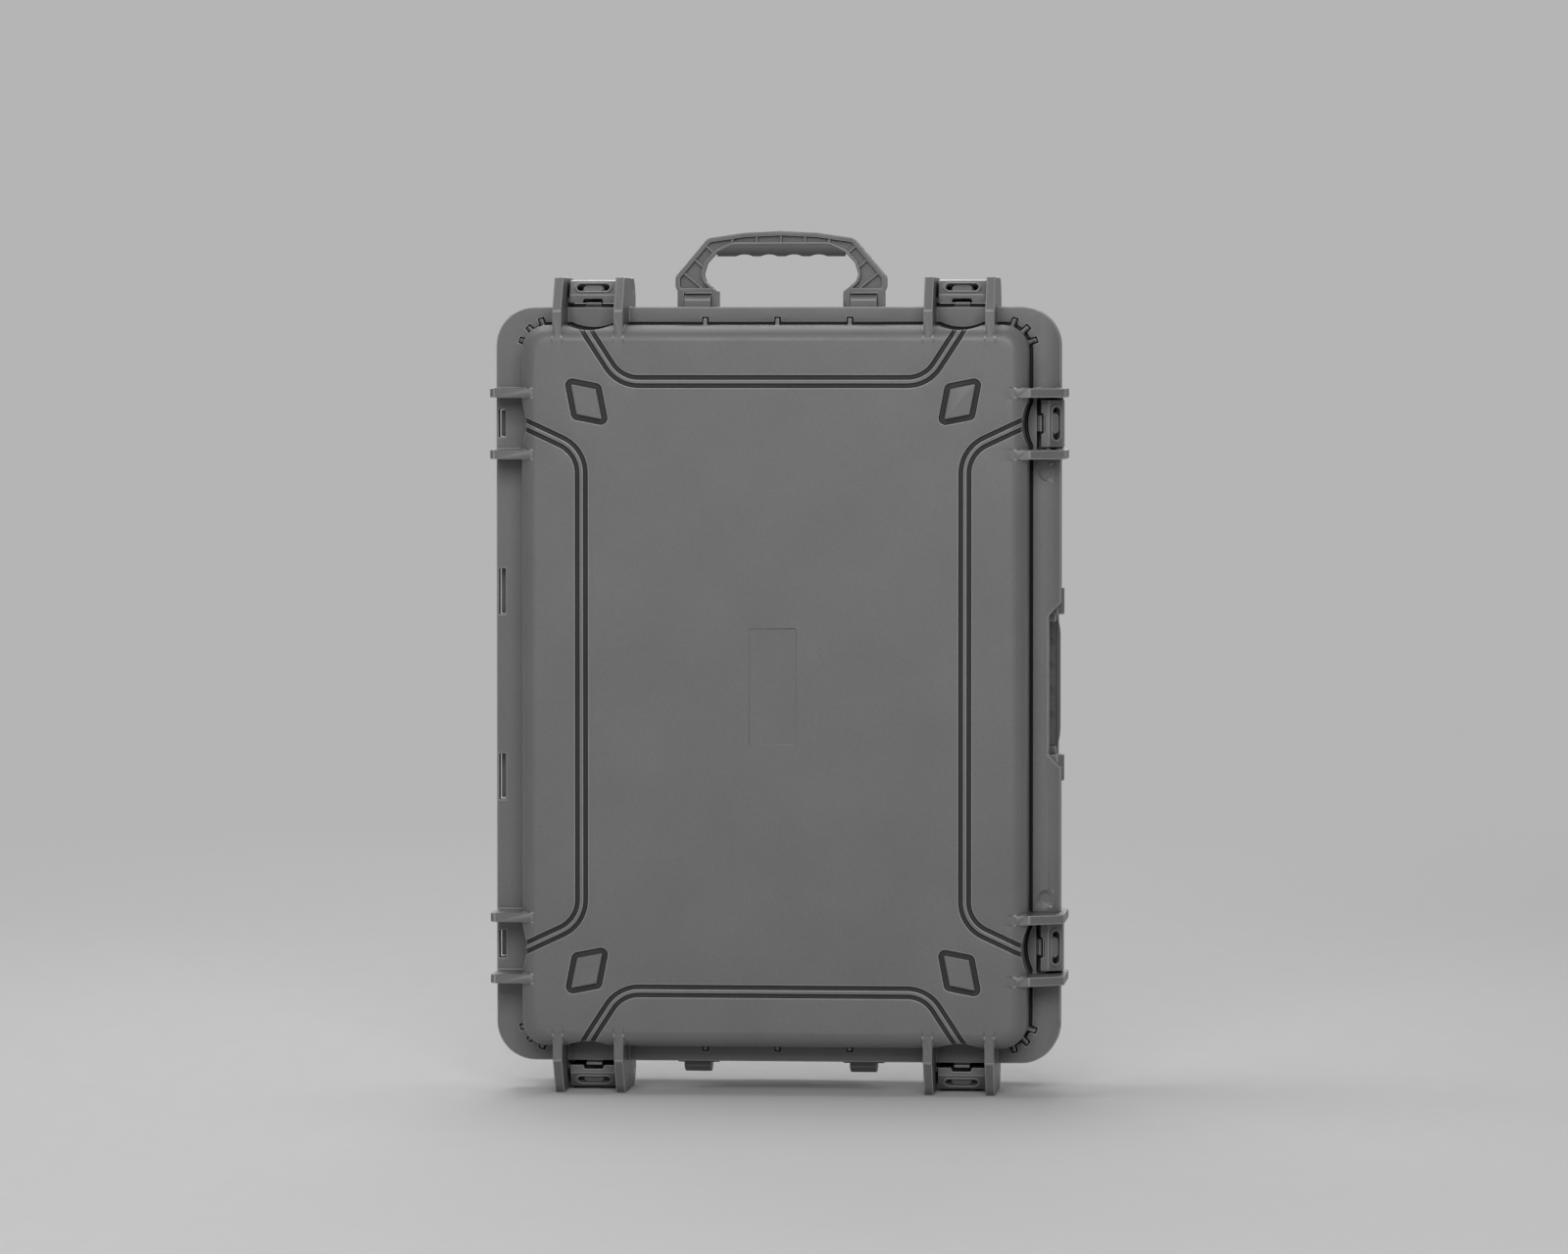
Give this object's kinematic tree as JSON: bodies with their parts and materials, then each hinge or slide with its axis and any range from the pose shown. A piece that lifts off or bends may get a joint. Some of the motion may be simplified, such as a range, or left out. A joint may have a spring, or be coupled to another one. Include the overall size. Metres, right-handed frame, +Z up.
{
  "type": "laptop hard case",
  "caption": "Upright moulded case for laptops with a side-hinged lid, press-button latches, folding carry handles, a lid seal and foam pockets.",
  "frame": {"origin": "middle of the bounding box on the floor plane, under the lower latch ears that the case stands on", "axes": "+Z up along the case's long side, -Y out of the lid's face, +X away from the hinge"},
  "size_m": [0.56, 0.182, 0.844],
  "materials": {
    "shell": "fine moulded texture",
    "latch": "fine moulded texture",
    "button": "smooth satin",
    "handle": "fine moulded texture",
    "grip": "soft matte",
    "steel": "drawn",
    "seal": "soft matte",
    "valve": "satin",
    "foam": "open-cell foam"
  },
  "bodies": {
    "base": {"base_shell": "shell", "base_side_rim": "shell", "hinge_rod": "steel", "latch_pins": "steel", "handle_pins": "steel", "valve_body": "valve", "valve_seal": "seal", "valve_nut": "valve", "base_pad": "foam", "base_foam": "foam"},
    "lid": {"lid_shell": "shell", "lid_side_rim": "shell", "lid_gasket": "seal", "lid_foam": "foam"},
    "top_handle": {"top_handle": "handle", "top_handle_grip": "grip"},
    "bottom_handle": {"bottom_handle": "handle", "bottom_handle_grip": "grip"},
    "side_handle": {"side_handle": "handle", "side_handle_grip": "grip"},
    "latch_1": {"latch_body_1": "latch"},
    "button_1": {"latch_button_1": "button"},
    "latch_2": {"latch_body_2": "latch"},
    "button_2": {"latch_button_2": "button"},
    "latch_3": {"latch_body_3": "latch"},
    "button_3": {"latch_button_3": "button"},
    "latch_4": {"latch_body_4": "latch"},
    "button_4": {"latch_button_4": "button"},
    "latch_5": {"latch_body_5": "latch"},
    "button_5": {"latch_button_5": "button"},
    "latch_6": {"latch_body_6": "latch"},
    "button_6": {"latch_button_6": "button"}
  },
  "joints": [
    {"name": "lid_hinge", "type": "hinge", "parent": "base", "child": "lid", "pos_m": [-0.2715, -0.011, 0.399], "axis": [0, 0, -1], "range_deg": [0, 105]},
    {"name": "latch_1_swing", "type": "hinge", "parent": "base", "child": "latch_1", "pos_m": [-0.18399, 0.015, 0.783], "axis": [-1, 0, 0], "range_deg": [0, 140]},
    {"name": "button_1_press", "type": "slide", "parent": "latch_1", "child": "button_1", "axis": [0, 0.8178, -0.5755], "range_m": [0, 0.0025], "stiffness_N_per_m": 300},
    {"name": "latch_2_swing", "type": "hinge", "parent": "base", "child": "latch_2", "pos_m": [0.17799, 0.015, 0.783], "axis": [-1, 0, 0], "range_deg": [0, 140]},
    {"name": "button_2_press", "type": "slide", "parent": "latch_2", "child": "button_2", "axis": [0, 0.8178, -0.5755], "range_m": [0, 0.0025], "stiffness_N_per_m": 300},
    {"name": "latch_3_swing", "type": "hinge", "parent": "base", "child": "latch_3", "pos_m": [0.17799, 0.015, 0.015], "axis": [1, 0, 0], "range_deg": [0, 140]},
    {"name": "button_3_press", "type": "slide", "parent": "latch_3", "child": "button_3", "axis": [0, 0.8178, 0.5755], "range_m": [0, 0.0025], "stiffness_N_per_m": 300},
    {"name": "latch_4_swing", "type": "hinge", "parent": "base", "child": "latch_4", "pos_m": [-0.18399, 0.015, 0.015], "axis": [1, 0, 0], "range_deg": [0, 140]},
    {"name": "button_4_press", "type": "slide", "parent": "latch_4", "child": "button_4", "axis": [0, 0.8178, 0.5755], "range_m": [0, 0.0025], "stiffness_N_per_m": 300},
    {"name": "latch_5_swing", "type": "hinge", "parent": "base", "child": "latch_5", "pos_m": [0.265, 0.015, 0.65504], "axis": [0, 0, 1], "range_deg": [0, 140]},
    {"name": "button_5_press", "type": "slide", "parent": "latch_5", "child": "button_5", "axis": [-0.5755, 0.8178, 0], "range_m": [0, 0.0025], "stiffness_N_per_m": 300},
    {"name": "latch_6_swing", "type": "hinge", "parent": "base", "child": "latch_6", "pos_m": [0.265, 0.015, 0.14296], "axis": [0, 0, 1], "range_deg": [0, 140]},
    {"name": "button_6_press", "type": "slide", "parent": "latch_6", "child": "button_6", "axis": [-0.5755, 0.8178, 0], "range_m": [0, 0.0025], "stiffness_N_per_m": 300},
    {"name": "top_handle_fold", "type": "hinge", "parent": "base", "child": "top_handle", "pos_m": [-0.003, 0.0095, 0.765], "axis": [-1, 0, 0], "range_deg": [0, 90]},
    {"name": "bottom_handle_lift", "type": "hinge", "parent": "base", "child": "bottom_handle", "pos_m": [-0.003, 0.0095, 0.033], "axis": [-1, 0, 0], "range_deg": [0, 90]},
    {"name": "side_handle_lift", "type": "hinge", "parent": "base", "child": "side_handle", "pos_m": [0.258, 0.0095, 0.399], "axis": [0, 0, -1], "range_deg": [0, 90]}
  ]
}
